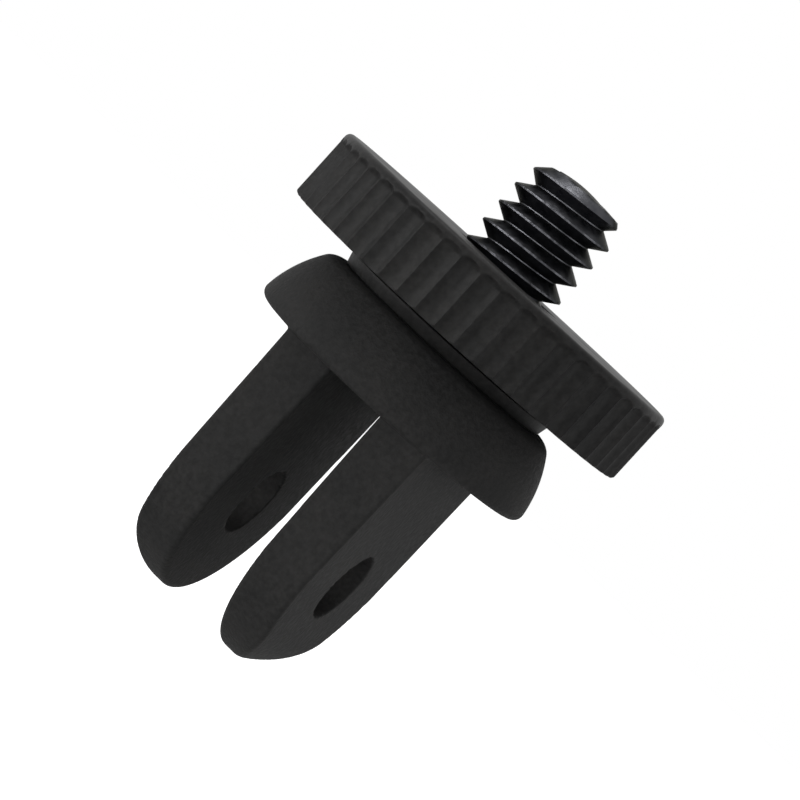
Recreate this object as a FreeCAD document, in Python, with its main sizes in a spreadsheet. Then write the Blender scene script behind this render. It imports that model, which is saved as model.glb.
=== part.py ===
import FreeCAD, Part
import math
import os
import Sketcher

# Fork mount with a quarter-inch camera stud and a thumb wheel that locks against the camera.
# Origin: centre of the cross bore, on the stud's axis. X runs along the bore, Z along the stud.
# Lengths are in millimetres.

os.makedirs("parts", exist_ok=True)
doc = FreeCAD.newDocument("reverse_mount")

SIZE = {
    # fork fingers, measured at the height of the cross bore
    "finger_thick": 3.0,
    "finger_gap": 3.85,
    "finger_width": 14.3,
    "tip_drop": 6.6,
    "draft_slope": 0.0175,
    "nose_height": 3.0,
    "nose_inset": 1.5,
    "inner_round": 0.45,
    "bore_dia": 4.4,
    # domed collar that the fingers grow from
    "collar_base": 8.7,
    "collar_height": 4.3,
    "collar_radius": 9.25,
    "collar_flat": 7.27,
    "shoulder_out": 0.74,
    "shoulder_down": 0.43,
    "dome_round": 7.5,
    "rim_inset": 0.38,
    "rim_height": 0.72,
    "finger_root": 1.0,
    # steel stud, its hexagonal head moulded into the collar
    "stud_dia": 6.2,
    "stud_length": 11.5,
    "bevel_in": 0.65,
    "bevel_down": 1.1,
    "thread_pitch": 1.27,
    "thread_depth": 0.9,
    "thread_crest": 0.13,
    "thread_start": 1.478,
    "thread_over": 0.3,
    "head_flats": 11.0,
    "head_height": 2.6,
    "head_cover": 0.7,
    # thin washer under the wheel
    "washer_radius": 7.05,
    "washer_thick": 0.75,
    "washer_taper": 0.15,
    "washer_clear": 0.3,
    # thumb wheel
    "wheel_radius": 11.5,
    "wheel_thick": 4.3,
    "wheel_bevel": 0.45,
    "wheel_edge": 0.12,
    "wheel_clear": 0.05,
    "hub_radius": 5.6,
    "hub_height": 0.25,
    "mouth_bevel": 0.4,
    "flute_round": 1.05,
    "flute_depth": 0.22,
    "flute_stop": 0.55,
    "flute_turn": 2.3,
}
FLUTES = 54

sheet = doc.addObject("Spreadsheet::Sheet", "sizes")
for row, (alias, number) in enumerate(SIZE.items(), start=1):
    cell = "A" + str(row)
    sheet.set(cell, str(number))
    sheet.setAlias(cell, alias)
doc.recompute()


def span(*terms):
    """A sum of products of sizes: its number, and the same sum written for the sheet."""
    total = 0.0
    pieces = []
    for factor, *names in terms:
        product = factor
        text = "(" + str(factor) + ")"
        for name in names:
            product *= SIZE[name]
            text += " * sizes." + name
        total += product
        pieces.append(text)
    return total, " + ".join(pieces)


ZERO = (0.0, None)


def origin_item(body, role):
    for item in body.Origin.OriginFeatures:
        if item.Role == role:
            return item
    raise RuntimeError("no " + role + " in " + body.Name)


def new_body(name):
    body = doc.addObject("PartDesign::Body", name)
    body.Label = name
    return body


def new_sketch(body, name, role):
    sketch = body.newObject("Sketcher::SketchObject", name)
    sketch.AttachmentSupport = [(origin_item(body, role), "")]
    sketch.MapMode = "FlatFace"
    return sketch


def pin_point(sketch, geo, end, x_size, y_size):
    """Hold one point of a sketch at sizes from the sheet."""
    for kind, axis, (number, text) in (("DistanceX", -2, x_size), ("DistanceY", -1, y_size)):
        if text is None:
            sketch.addConstraint(Sketcher.Constraint("PointOnObject", geo, end, axis))
        else:
            index = sketch.addConstraint(Sketcher.Constraint(kind, -1, 1, geo, end, number))
            sketch.setExpression("Constraints[" + str(index) + "]", text)


def bend(start, end, radius, turn):
    """Arc from start to end; turn is +1 where it runs counter-clockwise."""
    chord = end.sub(start)
    half = chord.Length / 2
    rise = math.sqrt(max(radius * radius - half * half, 0.0))
    across = FreeCAD.Vector(-chord.y, chord.x, 0).normalize()
    centre = start.add(end).multiply(0.5).add(across.multiply(turn * rise))
    first, last = (start, end) if turn > 0 else (end, start)
    angles = [math.atan2(p.y - centre.y, p.x - centre.x) for p in (first, last)]
    if angles[1] < angles[0]:
        angles[1] += 2 * math.pi
    circle = Part.Circle(centre, FreeCAD.Vector(0, 0, 1), radius)
    return Part.ArcOfCircle(circle, angles[0], angles[1])


def outline(sketch, corners, bends=None):
    """Closed outline through the corners.

    bends maps a corner to (radius, turn) of the arc after it; a third entry holds the height of
    the arc's centre in place of its radius.
    """
    bends = bends or {}
    points = [FreeCAD.Vector(x[0], y[0], 0) for x, y in corners]
    ends = []
    count = len(points)
    base = sketch.GeometryCount
    for i, start in enumerate(points):
        end = points[(i + 1) % count]
        if i in bends:
            radius, turn = bends[i][:2]
            geo = sketch.addGeometry(bend(start, end, radius[0], turn), False)
            ends.append((geo, 1, 2) if turn > 0 else (geo, 2, 1))
        else:
            geo = sketch.addGeometry(Part.LineSegment(start, end), False)
            ends.append((geo, 1, 2))
    for i in range(count):
        geo, first, last = ends[i]
        following, following_first, unused = ends[(i + 1) % count]
        sketch.addConstraint(Sketcher.Constraint("Coincident", geo, last, following, following_first))
    for i, (x_size, y_size) in enumerate(corners):
        geo, first, last = ends[i]
        pin_point(sketch, geo, first, x_size, y_size)
    for i, (radius, turn, *middle) in bends.items():
        geo = ends[i][0]
        if middle:
            held = Sketcher.Constraint("DistanceY", -1, 1, geo, 3, middle[0][0])
            text = middle[0][1]
        else:
            held = Sketcher.Constraint("Radius", geo, radius[0])
            text = radius[1]
        index = sketch.addConstraint(held)
        sketch.setExpression("Constraints[" + str(index) + "]", text)
    return base


def ring(sketch, radius, centre_x=ZERO, centre_y=ZERO):
    """A full circle."""
    place = FreeCAD.Vector(centre_x[0], centre_y[0], 0)
    geo = sketch.addGeometry(Part.Circle(place, FreeCAD.Vector(0, 0, 1), radius[0]), False)
    pin_point(sketch, geo, 3, centre_x, centre_y)
    index = sketch.addConstraint(Sketcher.Constraint("Radius", geo, radius[0]))
    sketch.setExpression("Constraints[" + str(index) + "]", radius[1])


def turn_solid(body, kind, name, sketch, axis=None):
    feature = body.newObject(kind, name)
    feature.Profile = sketch
    feature.ReferenceAxis = axis or (sketch, ["V_Axis"])
    feature.Angle = 360
    sketch.Visibility = False
    return feature


def prism_through(body, kind, name, sketch, length):
    """A pad or pocket that runs the same way to both sides of its sketch."""
    feature = body.newObject(kind, name)
    feature.Profile = sketch
    feature.Midplane = True
    feature.Length = length[0]
    feature.setExpression("Length", length[1])
    sketch.Visibility = False
    return feature


# Heights up the stud
COLLAR_TOP = ((1, "collar_base"), (1, "collar_height"))
HEAD_BASE = ((1, "collar_base"), (1, "head_cover"))
HEAD_TOP = HEAD_BASE + ((1, "head_height"),)
STUD_END = COLLAR_TOP + ((1, "stud_length"),)
WASHER_TOP = COLLAR_TOP + ((1, "washer_thick"),)
WHEEL_BASE = WASHER_TOP + ((1, "hub_height"),)
WHEEL_TOP = WHEEL_BASE + ((1, "wheel_thick"),)
STUD_RADIUS = ((0.5, "stud_dia"),)


# Fork body: domed collar and two drafted fingers, one moulding
fork = new_body("fork_body")
collar_sketch = new_sketch(fork, "collar_section", "XZ_Plane")
outline(
    collar_sketch,
    [
        (ZERO, span((1, "collar_base"))),
        (span((1, "collar_radius"), (-1, "rim_inset")), span((1, "collar_base"))),
        (span((1, "collar_radius")), span((1, "collar_base"), (1, "rim_height"))),
        (span((1, "collar_flat"), (1, "shoulder_out")), span(*COLLAR_TOP, (-1, "shoulder_down"))),
        (span((1, "collar_flat")), span(*COLLAR_TOP)),
        (ZERO, span(*COLLAR_TOP)),
    ],
    {2: (span((1, "dome_round")), 1)},
)
turn_solid(fork, "PartDesign::Revolution", "collar", collar_sketch)

finger_sketch = new_sketch(fork, "finger_section", "XZ_Plane")
ROOT = ((1, "collar_base"), (1, "finger_root"))
inner_root = span((0.5, "finger_gap"), (-1, "draft_slope", "collar_base"),
                  (-1, "draft_slope", "finger_root"))
outer_root = span((0.5, "finger_gap"), (1, "finger_thick"), (1, "draft_slope", "collar_base"),
                  (1, "draft_slope", "finger_root"))
inner_low = ((0.5, "finger_gap"), (1, "draft_slope", "tip_drop"), (-1, "draft_slope", "inner_round"))
outer_low = ((0.5, "finger_gap"), (1, "finger_thick"), (-1, "draft_slope", "tip_drop"),
             (1, "draft_slope", "nose_height"))
nose_number = (SIZE["nose_height"] ** 2 + SIZE["nose_inset"] ** 2) / (2 * SIZE["nose_inset"])
nose_text = "(sizes.nose_height ^ 2 + sizes.nose_inset ^ 2) / (2 * sizes.nose_inset)"
outline(
    finger_sketch,
    [
        (inner_root, span(*ROOT)),
        (span(*inner_low), span((-1, "tip_drop"), (1, "inner_round"))),
        (span(*inner_low, (1, "inner_round")), span((-1, "tip_drop"))),
        (span(*outer_low, (-1, "nose_inset")), span((-1, "tip_drop"))),
        (span(*outer_low), span((-1, "tip_drop"), (1, "nose_height"))),
        (outer_root, span(*ROOT)),
    ],
    {
        1: (span((1, "inner_round")), 1),
        3: ((nose_number, nose_text), 1),
    },
)
finger_pad = prism_through(fork, "PartDesign::Pad", "finger", finger_sketch, span((1, "finger_width")))
mirror = fork.newObject("PartDesign::Mirrored", "second_finger")
mirror.Originals = [finger_pad]
mirror.MirrorPlane = (origin_item(fork, "YZ_Plane"), [""])
fork.Tip = mirror
doc.recompute()

# Round tips: what lies outside the half-round end is taken away
tip_sketch = new_sketch(fork, "tip_section", "YZ_Plane")
half_width = span((0.5, "finger_width"))
half_width_left = span((-0.5, "finger_width"))
tip_middle = span((0.5, "finger_width"), (-1, "tip_drop"))
side = ((0.5, "finger_width"), (1, "nose_inset"))
below = span((-1, "tip_drop"), (-1, "nose_inset"))
outline(
    tip_sketch,
    [
        (half_width_left, tip_middle),
        (half_width, tip_middle),
        (span(*side), tip_middle),
        (span(*side), below),
        (span(*[(-term[0],) + term[1:] for term in side]), below),
        (span(*[(-term[0],) + term[1:] for term in side]), tip_middle),
    ],
    {0: (half_width, 1, tip_middle)},
)
across = ((2, "finger_thick"), (2, "finger_gap"), (2, "collar_radius"))
tips = prism_through(fork, "PartDesign::Pocket", "tip_ends", tip_sketch, span(*across))

bore_sketch = new_sketch(fork, "bore_section", "YZ_Plane")
ring(bore_sketch, span((0.5, "bore_dia")))
bore = prism_through(fork, "PartDesign::Pocket", "cross_bore", bore_sketch, span(*across))
fork.Tip = bore
doc.recompute()

# Space that the stud's head and shank fill
HEX_CORNER = 1 / math.cos(math.pi / 6) / 2


def hex_block(body, kind, name):
    block = body.newObject(kind, name)
    block.Polygon = 6
    radius = span((HEX_CORNER, "head_flats"))
    block.Circumradius = radius[0]
    block.setExpression("Circumradius", radius[1])
    block.Height = SIZE["head_height"]
    block.setExpression("Height", "sizes.head_height")
    low = span(*HEAD_BASE)
    block.Placement = FreeCAD.Placement(FreeCAD.Vector(0, 0, low[0]), FreeCAD.Rotation())
    block.setExpression("Placement.Base.z", low[1])
    return block


hex_block(fork, "PartDesign::SubtractivePrism", "head_space")
shank_space = fork.newObject("PartDesign::SubtractiveCylinder", "shank_space")
shank_radius = span(*STUD_RADIUS)
shank_low = span(*HEAD_BASE)
shank_span = span((1, "collar_height"))
shank_space.Radius = shank_radius[0]
shank_space.setExpression("Radius", shank_radius[1])
shank_space.Height = shank_span[0]
shank_space.setExpression("Height", shank_span[1])
shank_space.Placement = FreeCAD.Placement(FreeCAD.Vector(0, 0, shank_low[0]), FreeCAD.Rotation())
shank_space.setExpression("Placement.Base.z", shank_low[1])
fork.Tip = shank_space
doc.recompute()

# Stud: a bevelled rod with a hexagonal head and a right-hand thread cut along it
stud = new_body("threaded_stud")
stud_sketch = new_sketch(stud, "stud_section", "XZ_Plane")
outline(
    stud_sketch,
    [
        (ZERO, span(*HEAD_BASE)),
        (span(*STUD_RADIUS), span(*HEAD_BASE)),
        (span(*STUD_RADIUS), span(*STUD_END, (-1, "bevel_down"))),
        (span(*STUD_RADIUS, (-1, "bevel_in")), span(*STUD_END)),
        (ZERO, span(*STUD_END)),
    ],
)
turn_solid(stud, "PartDesign::Revolution", "shank", stud_sketch)
hex_block(stud, "PartDesign::AdditivePrism", "head")

groove_sketch = new_sketch(stud, "groove_section", "XZ_Plane")
GROOVE_MIDDLE = COLLAR_TOP + ((1, "thread_start"),)
mouth_half = ((0.5, "thread_pitch"), (-0.5, "thread_crest"))
mouth_low = span(*GROOVE_MIDDLE, *[(-factor, name) for factor, name in mouth_half])
mouth_high = span(*GROOVE_MIDDLE, *mouth_half)
groove_root = span(*STUD_RADIUS, (-1, "thread_depth"))
groove_out = span(*STUD_RADIUS, (1, "thread_over"))
outline(
    groove_sketch,
    [
        (groove_root, span(*GROOVE_MIDDLE)),
        (span(*STUD_RADIUS), mouth_low),
        (groove_out, mouth_low),
        (groove_out, mouth_high),
        (span(*STUD_RADIUS), mouth_high),
    ],
)
thread = stud.newObject("PartDesign::SubtractiveHelix", "thread")
thread.Profile = groove_sketch
thread.ReferenceAxis = (groove_sketch, ["V_Axis"])
thread.Mode = "pitch-height-angle"
thread.Pitch = SIZE["thread_pitch"]
thread.setExpression("Pitch", "sizes.thread_pitch")
# The groove runs on past the stud's end
groove_rise = span((1, "stud_length"), (-1, "thread_start"), (1, "thread_pitch"))
thread.Height = groove_rise[0]
thread.setExpression("Height", groove_rise[1])
groove_sketch.Visibility = False
stud.Tip = thread

# Washer that rides under the wheel
washer = new_body("spacer_washer")
washer_sketch = new_sketch(washer, "washer_section", "XZ_Plane")
washer_bore = span(*STUD_RADIUS, (1, "washer_clear"))
outline(
    washer_sketch,
    [
        (washer_bore, span(*COLLAR_TOP)),
        (span((1, "washer_radius"), (-1, "washer_taper")), span(*COLLAR_TOP)),
        (span((1, "washer_radius")), span(*WASHER_TOP, (-1, "washer_taper"))),
        (span((1, "washer_radius")), span(*WASHER_TOP)),
        (washer_bore, span(*WASHER_TOP)),
    ],
)
turn_solid(washer, "PartDesign::Revolution", "ring", washer_sketch)

# Thumb wheel with a fluted rim
wheel = new_body("thumb_wheel")
wheel_sketch = new_sketch(wheel, "wheel_section", "XZ_Plane")
wheel_bore = ((0.5, "stud_dia"), (1, "wheel_clear"))
outline(
    wheel_sketch,
    [
        (span(*wheel_bore), span(*WASHER_TOP)),
        (span((1, "hub_radius")), span(*WASHER_TOP)),
        (span((1, "hub_radius")), span(*WHEEL_BASE)),
        (span((1, "wheel_radius"), (-1, "wheel_edge")), span(*WHEEL_BASE)),
        (span((1, "wheel_radius")), span(*WHEEL_BASE, (1, "wheel_edge"))),
        (span((1, "wheel_radius")), span(*WHEEL_TOP, (-1, "wheel_bevel"))),
        (span((1, "wheel_radius"), (-1, "wheel_bevel")), span(*WHEEL_TOP)),
        (span(*wheel_bore, (1, "mouth_bevel")), span(*WHEEL_TOP)),
        (span(*wheel_bore), span(*WHEEL_TOP, (-1, "mouth_bevel"))),
    ],
)
turn_solid(wheel, "PartDesign::Revolution", "disc", wheel_sketch)

# One flute: a round cutter that stops short of the wheel's upper face
flute_sketch = new_sketch(wheel, "flute_section", "XZ_Plane")
cutter_axis = ((1, "wheel_radius"), (1, "flute_round"), (-1, "flute_depth"))
flute_low = WASHER_TOP + ((-1, "flute_round"),)
flute_top = WHEEL_TOP + ((-1, "flute_stop"),)
outline(
    flute_sketch,
    [
        (span(*cutter_axis), span(*flute_low)),
        (span(*cutter_axis), span(*flute_top)),
        (span(*cutter_axis, (-1, "flute_round")), span(*flute_top)),
        (span(*cutter_axis, (-1, "flute_round")), span(*flute_low)),
    ],
)
flute = turn_solid(wheel, "PartDesign::Groove", "flute", flute_sketch, (flute_sketch, ["Edge1"]))
flutes = wheel.newObject("PartDesign::PolarPattern", "flutes")
flutes.Originals = [flute]
flutes.Axis = (origin_item(wheel, "Z_Axis"), [""])
flutes.Angle = 360
flutes.Occurrences = FLUTES
wheel.Tip = flutes
wheel.setExpression("Placement.Rotation.Angle", "sizes.flute_turn * 1 deg")
wheel.Placement = FreeCAD.Placement(
    FreeCAD.Vector(0, 0, 0),
    FreeCAD.Rotation(FreeCAD.Vector(0, 0, 1), SIZE["flute_turn"]),
)
doc.recompute()

for item in doc.Objects:
    faults = [word for word in ("Invalid", "Error") if word in item.State]
    if faults:
        raise RuntimeError(item.Name + " is " + ", ".join(faults))

for body in (fork, stud, washer, wheel):
    shape = body.Shape
    if shape.isNull() or not shape.isValid() or shape.Volume <= 0:
        raise RuntimeError(body.Label + " has no sound solid")
    print(body.Label, round(shape.Volume, 2), len(shape.Solids), len(shape.Faces), shape.BoundBox)
    shape.exportStep("parts/" + body.Label + ".step")
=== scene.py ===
import math

import bmesh
import bpy
import numpy as np
from mathutils import Matrix, Vector


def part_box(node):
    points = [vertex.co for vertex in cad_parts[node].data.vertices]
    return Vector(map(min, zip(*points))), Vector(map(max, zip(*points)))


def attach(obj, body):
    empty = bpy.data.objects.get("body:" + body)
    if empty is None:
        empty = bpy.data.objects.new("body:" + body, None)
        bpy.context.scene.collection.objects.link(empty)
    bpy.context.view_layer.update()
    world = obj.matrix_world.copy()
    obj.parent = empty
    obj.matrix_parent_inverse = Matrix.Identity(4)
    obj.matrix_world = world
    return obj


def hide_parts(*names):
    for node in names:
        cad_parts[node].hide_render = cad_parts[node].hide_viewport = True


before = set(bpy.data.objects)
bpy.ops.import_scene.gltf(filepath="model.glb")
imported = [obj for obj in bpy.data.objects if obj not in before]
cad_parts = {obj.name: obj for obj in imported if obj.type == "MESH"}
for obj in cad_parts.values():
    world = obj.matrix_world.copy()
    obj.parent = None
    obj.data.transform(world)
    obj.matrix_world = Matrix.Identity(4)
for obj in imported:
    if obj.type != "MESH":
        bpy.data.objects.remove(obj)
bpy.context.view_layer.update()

# Shapes are worked out in millimetres, in the part's own frame, and made in metres
MM = 0.001


def node_span(node):
    """Lowest and highest corner of a node, in millimetres."""
    low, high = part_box(node)
    return np.array(low) / MM, np.array(high) / MM


FORK_LOW, FORK_HIGH = node_span("fork_body")
STUD_LOW, STUD_HIGH = node_span("threaded_stud")
WASHER_HIGH = node_span("spacer_washer")[1]
WHEEL_HIGH = node_span("thumb_wheel")[1]

TIP = FORK_LOW[2]
COLLAR_TOP = FORK_HIGH[2]
STUD_END = STUD_HIGH[2]
HEAD_BASE = STUD_LOW[2]
WASHER_TOP = WASHER_HIGH[2]
WASHER_RADIUS = WASHER_HIGH[0]
WHEEL_TOP = WHEEL_HIGH[2]

# Fork: two fingers, measured at the height of the cross bore
FINGER_THICK = 3.0
FINGER_GAP = 3.85
FINGER_WIDTH = 14.3
DRAFT_SLOPE = 0.0175
NOSE_HEIGHT = 3.0
NOSE_INSET = 1.5
BORE_RADIUS = 2.2
EDGE_ROUND = 0.22
TIP_ROUND = 0.42

# Fork: the collar above the fingers, whose side is an arc between two points (radius, height)
COLLAR_BASE = 8.7
FINGER_ROOT = 1.0
DOME_ROUND = 7.5
DOME_LOW = (9.25, COLLAR_BASE + 0.72)
DOME_HIGH = (8.01, COLLAR_TOP - 0.43)
SHOULDER_ROUND = 0.45
RIM_ROUND = 0.6
ROOT_FILLET = 0.15
MOUTH_ROUND = 0.06

# Grid that the fork's skin is laid on: its cell, the cells left free around the fork, the steps in
# which points settle on the surface, and the least squared slope that such a step divides by
FORK_CELL = 0.17
FORK_MARGIN = 2.5
SETTLE_STEPS = 4
LEAST_SLOPE = 0.25

# Stud: quarter-inch thread of 20 turns to the inch, right-handed, that starts above the collar
STUD_RADIUS = 3.1
THREAD_PITCH = 1.27
THREAD_ROOT = 2.2
CREST_FLAT = 0.1
ROOT_FLAT = 0.06
THREAD_START = 1.55
THREAD_RUN_IN = 0.08
BEVEL_IN = 0.65
BEVEL_DOWN = 0.8
END_DOME = 0.2
# Height left to a ridge, from 1 for a whole one, by the turns that are left before the stud's end
RUN_OUT_TURNS = (0.0, 0.3, 1.0, 1.2)
RUN_OUT_HEIGHT = (0.0, 0.65, 0.8, 1.0)
# The ridge's very end is trimmed: how deep, and where that starts and how softly, in height below
# the rim and in turns left
END_TRIM = 0.5
TRIM_HEIGHT = 0.5
TRIM_HEIGHT_EASE = 0.4
TRIM_TURN = 0.15
TRIM_TURN_EASE = 0.3
# Shallow nicks in the crests, from two crossing ripples. Each has its waves in a turn and its
# radians along a millimetre, and points this near to the full radius are on the crest
NICK_DEPTH = 0.04
NICK_WAVES = ((29, 5), (11, -3))
CREST_NEAR = 0.01

# Points of the stud's mesh: around a turn, up a flank, and on the crest as shares of half its flat.
# Points closer than the weld are joined, and edges shorter than the sliver go
THREAD_STEPS = 180
FLANK_ROWS = 6
CREST_ROWS = (-0.4, 0.4)
WELD = 0.002
SLIVER = 0.001

# Stud: the hexagonal head that is moulded into the collar, and how far the rod reaches into it
HEAD_SIDES = 6
HEAD_FLATS = 11.0
HEAD_HEIGHT = 2.6
ROD_SINK = 0.2

# Washer, whose lower edge is tapered
WASHER_TAPER = 0.15
WASHER_BORE = STUD_RADIUS + 0.3
TAPER_LOW_ROUND = 0.07
TAPER_HIGH_ROUND = 0.06
WASHER_STEPS = 160

# Wheel, with a low hub on the washer. Its radius is measured over the ridges between the flutes
WHEEL_RADIUS = 11.5
WHEEL_BORE = STUD_RADIUS + 0.05
HUB_RADIUS = 5.6
HUB_HEIGHT = 0.25
WHEEL_ROUND = 0.42
WHEEL_EDGE = 0.12
MOUTH_BEVEL = 0.4
BEVEL_ROUND = 0.06

# Rounding of other small edges, and the steps in an arc at a corner
SMALL_ROUND = 0.05
WASHER_ARC_STEPS = 4
WHEEL_ARC_STEPS = 5

# Angles in degrees from which an edge is shown sharp
THREAD_SHARP = 24
WASHER_SHARP = 30
WHEEL_SHARP = 40

# Flutes: round grooves in the wheel's side that fade out below its upper face. Only points within
# the rim's band are moved, and a flute has so many steps around
FLUTES = 54
FLUTE_ROUND = 1.05
FLUTE_DEPTH = 0.25
FLUTE_STOP = 0.42
FLUTE_TURN = math.radians(2.3)
FLUTE_NOSE = 0.35
RIDGE_ROUND = 0.02
RIM_BAND = 1.0
FLUTE_STEPS = 14

# Rows of points up the wheel's side: spread out at first, and close where the flutes end. The
# first is measured from the wheel's underside and the others from its upper face
SIDE_START = 0.4
SPREAD_ROWS = 8
SPREAD_STOP = 1.0
CLOSE_ROWS = 18
CLOSE_START = 0.9
CLOSE_STOP = WHEEL_ROUND + 0.02


def add_object(name, data):
    """A new object in the scene."""
    item = bpy.data.objects.new(name, data)
    bpy.context.scene.collection.objects.link(item)
    return item


def new_mesh(name, points, faces, normals=None, sharp=None, smooth=True):
    """An object from points in millimetres. Normals are one to a point; sharp is an angle."""
    mesh = bpy.data.meshes.new(name)
    mesh.from_pydata((np.asarray(points) * MM).tolist(), [], faces)
    mesh.update()
    mesh.polygons.foreach_set("use_smooth", [smooth] * len(mesh.polygons))
    if normals is not None:
        mesh.normals_split_custom_set_from_vertices(normals.tolist())
    elif sharp is not None:
        mesh.set_sharp_from_angle(angle=math.radians(sharp))
    return add_object(name, mesh)


def ease(value, width):
    """Grows evenly from 0 to 1 while the value goes from 0 to the width."""
    return np.clip(value / width, 0.0, 1.0)


def round_cut(a, b, radius):
    """Where both shapes are, with the edge between them rounded."""
    corner = np.hypot(np.maximum(a + radius, 0.0), np.maximum(b + radius, 0.0))
    return np.minimum(-radius, np.maximum(a, b)) + corner


def round_join(a, b, radius):
    """Where either shape is, with a fillet between them."""
    corner = np.hypot(np.maximum(radius - a, 0.0), np.maximum(radius - b, 0.0))
    return np.maximum(radius, np.minimum(a, b)) - corner


def arc_centre(start, end, radius):
    """Centre of the arc that runs counter-clockwise from start to end."""
    chord = np.subtract(end, start)
    half = np.hypot(*chord) / 2
    across = np.array([-chord[1], chord[0]]) / (2 * half)
    return np.add(start, end) / 2 + across * math.sqrt(radius ** 2 - half ** 2)


DOME_CENTRE = arc_centre(DOME_LOW, DOME_HIGH, DOME_ROUND)
NOSE_RADIUS = (NOSE_HEIGHT ** 2 + NOSE_INSET ** 2) / (2 * NOSE_INSET)


def hexagon(x, y, flats):
    """Distance from a hexagon with two corners on X."""
    slant = math.sin(math.radians(60)) * np.abs(x) + np.abs(y) / 2
    return np.maximum(slant, np.abs(y)) - flats / 2


def collar_shape(x, y, z):
    """Distance from the domed collar."""
    dome = np.hypot(np.hypot(x, y) - DOME_CENTRE[0], z - DOME_CENTRE[1]) - DOME_ROUND
    collar = round_cut(dome, z - COLLAR_TOP, SHOULDER_ROUND)
    return round_cut(collar, COLLAR_BASE - z, RIM_ROUND)


def finger_shape(x, y, z):
    """Distance from the two fingers: drafted, round-ended, and curved in at their outer noses."""
    side = np.abs(x)
    inner = FINGER_GAP / 2 - DRAFT_SLOPE * z - side
    outer_face = FINGER_GAP / 2 + FINGER_THICK
    nose_top = TIP + NOSE_HEIGHT
    flat = side - outer_face - DRAFT_SLOPE * z
    nose_middle = outer_face + DRAFT_SLOPE * nose_top - NOSE_RADIUS
    nose = np.hypot(side - nose_middle, z - nose_top) - NOSE_RADIUS
    outer = np.where(z < nose_top, nose, flat)
    low = np.minimum(z - TIP - FINGER_WIDTH / 2, 0.0)
    width = np.hypot(y, low) - FINGER_WIDTH / 2
    finger = round_cut(outer, width, EDGE_ROUND)
    finger = round_cut(finger, inner, EDGE_ROUND + (TIP_ROUND - EDGE_ROUND) * ease(z, TIP))
    return np.maximum(finger, z - COLLAR_BASE - FINGER_ROOT)


def fork_shape(x, y, z):
    """How far a point lies outside the fork, less than zero inside it."""
    body = round_join(collar_shape(x, y, z), finger_shape(x, y, z), ROOT_FILLET)
    body = round_cut(body, BORE_RADIUS - np.hypot(y, z), MOUTH_ROUND)
    head_middle = HEAD_BASE + HEAD_HEIGHT / 2
    head = np.maximum(hexagon(x, y, HEAD_FLATS), np.abs(z - head_middle) - HEAD_HEIGHT / 2)
    shank = np.maximum(np.hypot(x, y) - STUD_RADIUS, head_middle - z)
    return np.maximum(round_cut(body, -shank, MOUTH_ROUND), -head)


def slope_of(shape, points, step=0.002):
    """Direction in which a shape's distance grows, at each point."""
    slope = np.empty_like(points)
    for k in range(3):
        ahead = points.copy()
        behind = points.copy()
        ahead[:, k] += step
        behind[:, k] -= step
        slope[:, k] = (shape(*ahead.T) - shape(*behind.T)) / (2 * step)
    return slope


CELL_CORNERS = [(i, j, k) for i in (0, 1) for j in (0, 1) for k in (0, 1)]
CELL_EDGES = [(a, b) for a in CELL_CORNERS for b in CELL_CORNERS
              if sum(b) == sum(a) + 1 and all(p <= q for p, q in zip(a, b))]


def settle(shape, points, cell):
    """Moves points onto a shape's surface, at most half a cell in a step."""
    for _ in range(SETTLE_STEPS):
        slope = slope_of(shape, points)
        length = np.maximum((slope ** 2).sum(axis=1), LEAST_SLOPE)
        move = shape(*points.T)[:, None] * slope / length[:, None]
        points = points - np.clip(move, -cell / 2, cell / 2)
    return points


def skin_faces(inside, number):
    """Faces that join the four cells around each grid line's crossing, by their points' numbers."""
    faces = []
    for axis in range(3):
        one, two = [k for k in range(3) if k != axis]
        before = [slice(1, -1)] * 3
        after = [slice(1, -1)] * 3
        before[axis] = slice(0, -1)
        after[axis] = slice(1, None)
        start = inside[tuple(before)]
        change = np.argwhere(start != inside[tuple(after)])
        opens = start[tuple(change.T)]
        corners = []
        for step_one, step_two in ((0, 0), (1, 0), (1, 1), (0, 1)):
            cell_at = change.copy()
            cell_at[:, one] += step_one
            cell_at[:, two] += step_two
            corners.append(number[tuple(cell_at.T)])
        quads = np.stack(corners, axis=1)
        outward = opens if axis != 1 else ~opens
        quads[~outward] = quads[~outward][:, ::-1]
        faces.append(quads)
    return np.concatenate(faces).tolist()


def skin(shape, low, high, cell):
    """Points, faces and normals of a shape's surface, one point to each cell that it crosses."""
    counts = np.ceil((high - low) / cell).astype(int) + 1
    axes = [low[k] + cell * np.arange(counts[k]) for k in range(3)]
    value = shape(*np.meshgrid(*axes, indexing="ij"))
    inside = value < 0

    def corner(grid, offset):
        i, j, k = offset
        return grid[i:counts[0] - 1 + i, j:counts[1] - 1 + j, k:counts[2] - 1 + k]

    filled = sum(corner(inside, offset).astype(int) for offset in CELL_CORNERS)
    crossed = (filled > 0) & (filled < len(CELL_CORNERS))
    cells = np.argwhere(crossed)
    number = np.full(crossed.shape, -1)
    number[crossed] = np.arange(len(cells))
    # A cell's point starts in the middle of the places where the surface crosses its edges
    total = np.zeros((len(cells), 3))
    hits = np.zeros(len(cells))
    for first, last in CELL_EDGES:
        here = corner(value, first)[crossed]
        there = corner(value, last)[crossed]
        hit = (here < 0) != (there < 0)
        share = np.where(hit, here / np.where(hit, here - there, 1.0), 0.0)
        place = np.array(first) + share[:, None] * (np.array(last) - np.array(first))
        total += place * hit[:, None]
        hits += hit
    points = settle(shape, low + cell * (cells + total / hits[:, None]), cell)
    slope = slope_of(shape, points)
    normals = slope / np.linalg.norm(slope, axis=1)[:, None]
    return points, skin_faces(inside, number), normals


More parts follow.
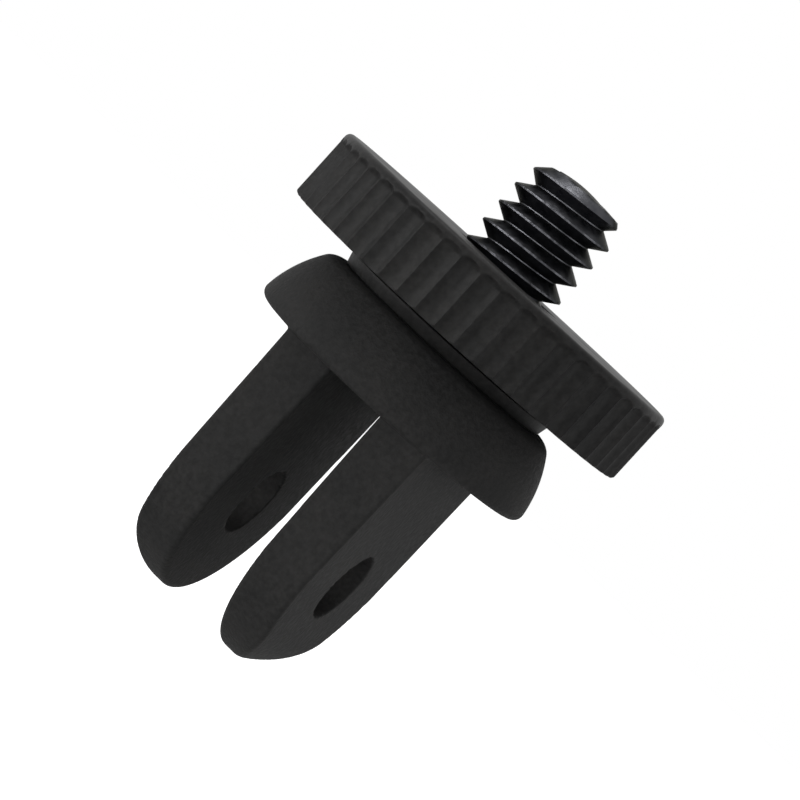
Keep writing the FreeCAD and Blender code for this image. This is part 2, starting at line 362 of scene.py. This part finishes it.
def make_fork():
    """The fork's moulding: fingers, bore, collar and the pocket for the stud's head."""
    margin = FORK_MARGIN * FORK_CELL
    points, faces, normals = skin(fork_shape, FORK_LOW - margin, FORK_HIGH + margin, FORK_CELL)
    return new_mesh("fork_moulding", points, faces, normals)


def thread_radius(share):
    """Radius of the thread's section at a share of the pitch, its crest at 0."""
    away = np.abs((share + 0.5) % 1.0 - 0.5) * THREAD_PITCH
    ramp = (away - CREST_FLAT / 2) / (THREAD_PITCH / 2 - CREST_FLAT / 2 - ROOT_FLAT / 2)
    return STUD_RADIUS - (STUD_RADIUS - THREAD_ROOT) * np.clip(ramp, 0.0, 1.0)


def thread_shares():
    """Places of the rows of points within one pitch, as shares of it."""
    crest = CREST_FLAT / 2 / THREAD_PITCH
    root = 0.5 - ROOT_FLAT / 2 / THREAD_PITCH
    flank = list(np.linspace(crest, root, FLANK_ROWS))
    shares = [crest * row for row in CREST_ROWS]
    shares += flank + [0.5] + [1 - share for share in reversed(flank)]
    return np.array(sorted(share % 1.0 for share in shares))


def nick_depths(reach, height, angles):
    """How deep the nicks are at each point, which is nothing away from the crests."""
    ripple = 1.0
    for around, along in NICK_WAVES:
        ripple = ripple * np.sin(around * angles + along * height)
    return NICK_DEPTH * (1 + ripple) / 2 * (reach > STUD_RADIUS - CREST_NEAR)


def thread_grid(low):
    """Points and faces of the threaded rod above a height: rows of points run along the thread."""
    shares = thread_shares()
    rows = len(shares)
    first_crest = COLLAR_TOP + THREAD_START - THREAD_PITCH / 2
    # Whole turns, with spare ones at both ends whose faces are left out below
    first_turn = math.floor((low - first_crest) / THREAD_PITCH) - 1
    last_turn = math.ceil((STUD_END - first_crest) / THREAD_PITCH) + 2
    level = (np.arange(first_turn, last_turn)[:, None] + shares[None, :]).ravel()
    angles = (2 * math.pi * np.arange(THREAD_STEPS) / THREAD_STEPS)[:, None]
    part_turn = angles / (2 * math.pi)
    height = first_crest + THREAD_PITCH * (level[None, :] + part_turn)
    cut = ease(np.floor(level)[None, :] + part_turn, THREAD_RUN_IN)
    reach = STUD_RADIUS - cut * (STUD_RADIUS - thread_radius(level)[None, :])
    reach = reach - nick_depths(reach, height, angles) * cut
    # The last ridge fades out, and the end is bevelled and slightly domed
    ridge_turn = np.floor(level + 0.5)[None, :] + part_turn
    ridge_left = (STUD_END - first_crest) / THREAD_PITCH - ridge_turn
    fade = np.interp(ridge_left, RUN_OUT_TURNS, RUN_OUT_HEIGHT)
    rim = STUD_END - END_DOME
    near_end = ease(height - rim + TRIM_HEIGHT, TRIM_HEIGHT_EASE)
    near_end = near_end * ease(TRIM_TURN - ridge_left, TRIM_TURN_EASE)
    reach = np.minimum(reach, THREAD_ROOT + (reach - THREAD_ROOT) * fade) - END_TRIM * near_end
    reach = np.minimum(reach, STUD_RADIUS - BEVEL_IN + (rim - height) * BEVEL_IN / BEVEL_DOWN)
    inward = ease(height - rim, THREAD_PITCH)
    reach = np.where(inward > 0, np.minimum(reach, STUD_RADIUS - BEVEL_IN) * (1 - inward), reach)
    dome = rim + END_DOME * (1 - (1 - inward) ** 2)
    lifted = np.where(inward > 0, dome, np.maximum(height, low))
    points = np.stack([reach * np.cos(angles), reach * np.sin(angles), lifted], axis=2)
    # After one turn around, a row goes on as the same row of the next pitch
    run = height.ravel()
    count = level.size
    faces = []
    for i in range(THREAD_STEPS):
        following = (i + 1) % THREAD_STEPS
        shift = rows if following == 0 else 0
        for j in range(count - 1 - shift):
            here = i * count + j
            beside = following * count + j + shift
            quad = (here, beside, beside + 1, here + 1)
            heights = run[list(quad)]
            if heights.max() > low and heights.min() < rim + THREAD_PITCH:
                faces.append(quad)
    return points.reshape(-1, 3), faces


def make_stud():
    """Threaded rod, closed at both ends."""
    piece = new_mesh("stud_thread", *thread_grid(HEAD_BASE + HEAD_HEIGHT - ROD_SINK))
    work = bmesh.new()
    work.from_mesh(piece.data)
    bmesh.ops.remove_doubles(work, verts=work.verts, dist=WELD * MM)
    bmesh.ops.dissolve_degenerate(work, edges=work.edges, dist=SLIVER * MM)
    loose = [v for v in work.verts if not v.link_faces]
    bmesh.ops.delete(work, geom=loose, context="VERTS")
    bmesh.ops.holes_fill(work, edges=[e for e in work.edges if e.is_boundary], sides=0)
    bmesh.ops.recalc_face_normals(work, faces=work.faces)
    work.to_mesh(piece.data)
    work.free()
    piece.data.set_sharp_from_angle(angle=math.radians(THREAD_SHARP))
    return piece


def make_head():
    """The stud's hexagonal head, inside the collar."""
    corner = HEAD_FLATS / 2 / math.cos(math.pi / HEAD_SIDES)
    turns = [2 * math.pi * k / HEAD_SIDES for k in range(HEAD_SIDES)]
    ring = [(corner * math.cos(turn), corner * math.sin(turn)) for turn in turns]
    points = [(x, y, z) for z in (HEAD_BASE, HEAD_BASE + HEAD_HEIGHT) for x, y in ring]
    faces = [tuple(reversed(range(HEAD_SIDES))), tuple(range(HEAD_SIDES, 2 * HEAD_SIDES))]
    for k in range(HEAD_SIDES):
        beside = (k + 1) % HEAD_SIDES
        faces.append((k, beside, beside + HEAD_SIDES, k + HEAD_SIDES))
    return new_mesh("stud_head", points, faces, smooth=False)


def rounded(corners, steps):
    """Outline through corners (radius, height, rounding), each corner turned into a short arc."""
    points = []
    count = len(corners)
    for i, (r, z, size) in enumerate(corners):
        here = np.array([r, z])
        if size == 0:
            points.append(here)
            continue
        back = np.array(corners[i - 1][:2]) - here
        ahead = np.array(corners[(i + 1) % count][:2]) - here
        start = here + back / np.hypot(*back) * size
        end = here + ahead / np.hypot(*ahead) * size
        for t in np.linspace(0, 1, steps + 1):
            points.append((1 - t) ** 2 * start + 2 * t * (1 - t) * here + t ** 2 * end)
    return np.array(points)


def turned(name, profile, around, sharp, shape_ring=None):
    """A closed ring turned about Z from an outline of (radius, height) points."""
    angles = (2 * math.pi * np.arange(around) / around)[:, None]
    radius = np.repeat(profile[None, :, 0], around, axis=0)
    height = np.repeat(profile[None, :, 1], around, axis=0)
    if shape_ring:
        radius = shape_ring(radius, height, angles)
    points = np.stack([radius * np.cos(angles), radius * np.sin(angles), height], axis=2)
    count = len(profile)
    index = np.arange(around * count).reshape(around, count)
    beside = np.roll(index, -1, axis=0)
    faces = np.stack([index, beside, np.roll(beside, -1, axis=1), np.roll(index, -1, axis=1)], axis=2)
    return new_mesh(name, points.reshape(-1, 3), faces.reshape(-1, 4).tolist(), sharp=sharp)


def make_washer():
    """The thin disc between the collar and the wheel."""
    corners = [
        (WASHER_BORE, COLLAR_TOP, SMALL_ROUND),
        (WASHER_RADIUS - WASHER_TAPER, COLLAR_TOP, TAPER_LOW_ROUND),
        (WASHER_RADIUS, WASHER_TOP - WASHER_TAPER, TAPER_HIGH_ROUND),
        (WASHER_RADIUS, WASHER_TOP, SMALL_ROUND),
        (WASHER_BORE, WASHER_TOP, SMALL_ROUND),
    ]
    return turned("washer_disc", rounded(corners, WASHER_ARC_STEPS), WASHER_STEPS, WASHER_SHARP)


def fluted(radius, height, angle):
    """Cuts the flutes: each is a round-nosed groove that stops short of the wheel's upper face."""
    pitch = 2 * math.pi / FLUTES
    away = (angle - FLUTE_TURN + pitch / 2) % pitch - pitch / 2
    top = WHEEL_TOP - FLUTE_STOP
    nose_end = math.sqrt(FLUTE_ROUND ** 2 - (FLUTE_ROUND - FLUTE_DEPTH) ** 2)
    nose = ease(height - top + FLUTE_NOSE, FLUTE_NOSE) * nose_end
    cutter = np.sqrt(FLUTE_ROUND ** 2 - nose ** 2)
    axis = WHEEL_RADIUS + FLUTE_ROUND - FLUTE_DEPTH
    inside = np.maximum(cutter ** 2 - (axis * np.sin(away)) ** 2, 0.0)
    hollow = np.where(inside > 0, axis * np.cos(away) - np.sqrt(inside), WHEEL_RADIUS + RIM_BAND)
    # The ridge between two flutes is softly rounded
    depths = (WHEEL_RADIUS - radius) / RIDGE_ROUND, (WHEEL_RADIUS - hollow) / RIDGE_ROUND
    cut = np.minimum(radius, WHEEL_RADIUS - RIDGE_ROUND * np.logaddexp(*depths))
    return np.where(radius > WHEEL_RADIUS - RIM_BAND, cut, radius)


def make_wheel():
    """The thumb wheel: hub, bore and fluted side."""
    base = WASHER_TOP + HUB_HEIGHT
    rows = list(np.linspace(base + SIDE_START, WHEEL_TOP - SPREAD_STOP, SPREAD_ROWS))
    rows += list(np.linspace(WHEEL_TOP - CLOSE_START, WHEEL_TOP - CLOSE_STOP, CLOSE_ROWS))
    corners = [
        (WHEEL_BORE, WASHER_TOP, SMALL_ROUND),
        (HUB_RADIUS, WASHER_TOP, SMALL_ROUND),
        (HUB_RADIUS, base, SMALL_ROUND),
        (WHEEL_RADIUS - WHEEL_EDGE, base, SMALL_ROUND),
        (WHEEL_RADIUS, base + WHEEL_EDGE, SMALL_ROUND),
        *[(WHEEL_RADIUS, row, 0) for row in rows],
        (WHEEL_RADIUS, WHEEL_TOP, WHEEL_ROUND),
        (WHEEL_BORE + MOUTH_BEVEL, WHEEL_TOP, BEVEL_ROUND),
        (WHEEL_BORE, WHEEL_TOP - MOUTH_BEVEL, BEVEL_ROUND),
    ]
    outline = rounded(corners, WHEEL_ARC_STEPS)
    return turned("wheel_fluted", outline, FLUTES * FLUTE_STEPS, WHEEL_SHARP, fluted)


class Shader:
    """A material's nodes, made and joined with short calls."""

    def __init__(self, name):
        self.material = bpy.data.materials.new(name)
        self.material.use_nodes = True
        self.nodes = self.material.node_tree.nodes
        self.links = self.material.node_tree.links
        self.surface = self.nodes["Principled BSDF"]
        self.place = self.nodes.new("ShaderNodeTexCoord").outputs["Object"]

    def add(self, kind, inputs=None, **settings):
        """A node, with each input joined to another node's output or set to a value."""
        node = self.nodes.new("ShaderNode" + kind)
        for name, value in settings.items():
            setattr(node, name, value)
        for name, value in (inputs or {}).items():
            if isinstance(value, bpy.types.NodeSocket):
                self.links.new(value, node.inputs[name])
            else:
                node.inputs[name].default_value = value
        return node

    def noise(self, size, detail=3.0, roughness=0.55):
        """Noise whose features are about size millimetres across."""
        scale = 1 / (size * MM)
        inputs = {"Vector": self.place, "Scale": scale, "Detail": detail, "Roughness": roughness}
        return self.add("TexNoise", inputs).outputs["Fac"]

    def ramp(self, factor, span, dark, light):
        """Colour that goes from dark to light while the factor goes from span's start to its end."""
        node = self.add("ValToRGB", {"Fac": factor})
        for element, position, colour in zip(node.color_ramp.elements, span, (dark, light)):
            element.position = position
            element.color = (*colour, 1.0)
        return node.outputs["Color"]

    def multiply(self, one, two):
        """Product of two colours, from the colour sockets of a mix node."""
        inputs = {0: 1.0, 6: one, 7: two}
        return self.add("Mix", inputs, data_type="RGBA", blend_type="MULTIPLY").outputs[2]

    def bump(self, height, depth, before=None):
        """Raises the surface by up to depth millimetres."""
        inputs = {"Height": height, "Strength": 1.0, "Distance": depth * MM}
        if before:
            inputs["Normal"] = before
        return self.add("Bump", inputs).outputs["Normal"]

    def set(self, **values):
        """Joins or sets the surface's inputs, which are named with underscores for spaces."""
        for name, value in values.items():
            socket = self.surface.inputs[name.replace("_", " ")]
            if isinstance(value, bpy.types.NodeSocket):
                self.links.new(value, socket)
            else:
                socket.default_value = value


def grey(value, warm=0.0):
    """A grey, with a share more red and less blue."""
    return (value * (1 + warm), value, value * (1 - warm))


def fork_plastic():
    """Matte moulded plastic: a fine speckle over slow changes of tone."""
    shader = Shader("fork_plastic_grain")
    grain = shader.noise(size=0.28, detail=2.0)
    fine = shader.noise(size=0.09, detail=2.0)
    cloud = shader.noise(size=3.5)
    tone = shader.ramp(cloud, span=(0.3, 0.7), dark=grey(0.022), light=grey(0.028, warm=0.02))
    speckle = shader.ramp(grain, span=(0.32, 0.68), dark=grey(0.62), light=grey(1.0))
    rough = shader.ramp(grain, span=(0.35, 0.65), dark=grey(0.64), light=grey(0.8))
    normal = shader.bump(grain, depth=0.045)
    normal = shader.bump(fine, depth=0.012, before=normal)
    shader.set(Base_Color=shader.multiply(tone, speckle), Roughness=rough, Normal=normal)
    shader.set(Specular_IOR_Level=0.08)
    return shader.material


def wheel_plastic():
    """Waxy plastic of the wheel and the washer: darker, smoother and mottled."""
    shader = Shader("wheel_plastic_waxy")
    cloud = shader.noise(size=2.2, detail=4.0)
    grain = shader.noise(size=0.36, detail=2.0)
    tone = shader.ramp(cloud, span=(0.3, 0.7), dark=grey(0.011), light=grey(0.0185, warm=0.03))
    speckle = shader.ramp(grain, span=(0.34, 0.66), dark=grey(0.58), light=grey(1.0))
    rough = shader.ramp(cloud, span=(0.3, 0.7), dark=grey(0.42), light=grey(0.56))
    normal = shader.bump(grain, depth=0.012)
    normal = shader.bump(cloud, depth=0.03, before=normal)
    shader.set(Base_Color=shader.multiply(tone, speckle), Roughness=rough, Normal=normal)
    shader.set(Specular_IOR_Level=0.1)
    return shader.material


def black_steel():
    """Black oxide on steel, whose reflections stay dim at grazing angles."""
    shader = Shader("stud_black_oxide")
    cloud = shader.noise(size=0.6, detail=4.0)
    grain = shader.noise(size=0.12)
    dark = (0.054, 0.055, 0.062)
    light = (0.078, 0.079, 0.085)
    tone = shader.ramp(cloud, span=(0.3, 0.7), dark=dark, light=light)
    rough = shader.ramp(cloud, span=(0.3, 0.7), dark=grey(0.27), light=grey(0.42))
    normal = shader.bump(grain, depth=0.012)
    normal = shader.bump(cloud, depth=0.025, before=normal)
    shader.set(Base_Color=tone, Roughness=rough, Normal=normal, Metallic=1.0)
    shader.set(Specular_Tint=(0.34, 0.34, 0.32, 1.0))
    return shader.material


FORK_PLASTIC = fork_plastic()
WHEEL_PLASTIC = wheel_plastic()
BLACK_STEEL = black_steel()


def dress(piece, body, node, material):
    """Puts a piece in place of a node, on its body and in its finish."""
    piece.data.materials.append(material)
    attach(piece, body)
    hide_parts(node)


dress(make_fork(), "mount", "fork_body", FORK_PLASTIC)
dress(make_stud(), "mount", "threaded_stud", BLACK_STEEL)
head = make_head()
head.data.materials.append(BLACK_STEEL)
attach(head, "mount")
dress(make_washer(), "washer", "spacer_washer", WHEEL_PLASTIC)
dress(make_wheel(), "wheel", "thumb_wheel", WHEEL_PLASTIC)

# Camera: the photo's direction and roll, worked out from the outline of the object. The distance,
# target, lens and sensor are in millimetres, and the clipping is in metres
VIEW_AZIMUTH = math.radians(14.311)
VIEW_ELEVATION = math.radians(3.8)
VIEW_ROLL = math.radians(42.330)
VIEW_DISTANCE = 178.943
VIEW_TARGET = (0.187, 0.078, 9.422)
LENS = 149.54
SENSOR = 36.0
CLIP_START = 0.01
CLIP_END = 50.0


def make_camera():
    """The camera, and its directions to the right, up and back."""
    back = Vector((
        math.sin(VIEW_AZIMUTH) * math.cos(VIEW_ELEVATION),
        -math.cos(VIEW_AZIMUTH) * math.cos(VIEW_ELEVATION),
        math.sin(VIEW_ELEVATION),
    ))
    level = Vector((0, 0, 1)).cross(back).normalized()
    upright = back.cross(level)
    right = level * math.cos(VIEW_ROLL) + upright * math.sin(VIEW_ROLL)
    up = upright * math.cos(VIEW_ROLL) - level * math.sin(VIEW_ROLL)
    data = bpy.data.cameras.new("camera")
    data.lens = LENS
    data.sensor_width = SENSOR
    data.clip_start = CLIP_START
    data.clip_end = CLIP_END
    camera = add_object("camera", data)
    middle = (Vector(VIEW_TARGET) + back * VIEW_DISTANCE) * MM
    axes = Matrix((right, up, back)).transposed().to_4x4()
    camera.matrix_world = Matrix.Translation(middle) @ axes
    bpy.context.scene.camera = camera
    return right, up, back


RIGHT, UP, BACK = make_camera()

# Square lamps, in metres and watts: name, way from the target to the right, up and back as the
# camera sees it, size and power
LAMPS = [
    ("key", -0.50, 0.25, 0.05, 0.30, 5.2),
    ("top", 0.20, 0.55, 0.10, 0.25, 2.2),
    ("fill", -0.40, 0.22, 0.32, 0.24, 2.5),
    ("front", -0.08, -0.04, 0.55, 0.36, 1.2),
    ("side", 0.45, -0.40, 0.15, 0.30, 0.6),
]


def make_lamp(name, right, up, back, size, power):
    """A square lamp that points at the camera's target."""
    data = bpy.data.lights.new(name, "AREA")
    data.shape = "SQUARE"
    data.size = size
    data.energy = power
    aim = Vector(VIEW_TARGET) * MM
    item = add_object(name, data)
    item.location = aim + RIGHT * right + UP * up + BACK * back
    item.rotation_euler = (item.location - aim).to_track_quat("Z", "Y").to_euler()


for lamp in LAMPS:
    make_lamp(*lamp)

# Floor and surroundings: white to the camera, and plain light on the object. The floor's drop below
# the fingers is in millimetres and its size in metres
FLOOR_DROP = 25.0
FLOOR_SIZE = 1.2
FLOOR_TONE = 0.82
FLOOR_GLOW = 0.75
WORLD_LEVEL = 0.35
BACKDROP_LEVEL = 1.0
WHITE = (1, 1, 1, 1)
BLACK = (0, 0, 0, 1)


def make_floor():
    """A pale floor that glows to the camera alone, so that it looks white and keeps the shadow."""
    half = FLOOR_SIZE / 2 / MM
    z = TIP - FLOOR_DROP
    corners = [(-half, -half, z), (half, -half, z), (half, half, z), (-half, half, z)]
    floor = new_mesh("floor", corners, [(0, 1, 2, 3)])
    shader = Shader("floor_white")
    shader.set(Base_Color=(*grey(FLOOR_TONE), 1), Roughness=1.0, Specular_IOR_Level=0.0)
    path = shader.add("LightPath").outputs["Is Camera Ray"]
    dark = shader.add("Emission", {"Color": BLACK, "Strength": 0.0}).outputs[0]
    glow = shader.add("Emission", {"Color": WHITE, "Strength": FLOOR_GLOW}).outputs[0]
    seen = shader.add("MixShader", {0: path, 1: dark, 2: glow}).outputs[0]
    both = shader.add("AddShader", {0: shader.surface.outputs[0], 1: seen}).outputs[0]
    shader.links.new(both, shader.nodes["Material Output"].inputs["Surface"])
    floor.data.materials.append(shader.material)


def make_world():
    """Even light around the object, which is white to the camera, in mirrors and through glass."""
    world = bpy.data.worlds.new("studio")
    world.use_nodes = True
    nodes = world.node_tree.nodes
    links = world.node_tree.links
    light = nodes["Background"]
    shown = nodes.new("ShaderNodeBackground")
    for background, level in ((light, WORLD_LEVEL), (shown, BACKDROP_LEVEL)):
        background.inputs["Color"].default_value = WHITE
        background.inputs["Strength"].default_value = level
    path = nodes.new("ShaderNodeLightPath")
    direct = path.outputs["Is Camera Ray"]
    for ray in ("Is Glossy Ray", "Is Transmission Ray"):
        either = nodes.new("ShaderNodeMath")
        either.operation = "MAXIMUM"
        links.new(direct, either.inputs[0])
        links.new(path.outputs[ray], either.inputs[1])
        direct = either.outputs[0]
    mix = nodes.new("ShaderNodeMixShader")
    for socket, source in zip(mix.inputs, (direct, light.outputs[0], shown.outputs[0])):
        links.new(source, socket)
    links.new(mix.outputs[0], nodes["World Output"].inputs["Surface"])
    bpy.context.scene.world = world


make_floor()
make_world()
bpy.context.scene.view_settings.view_transform = "Standard"
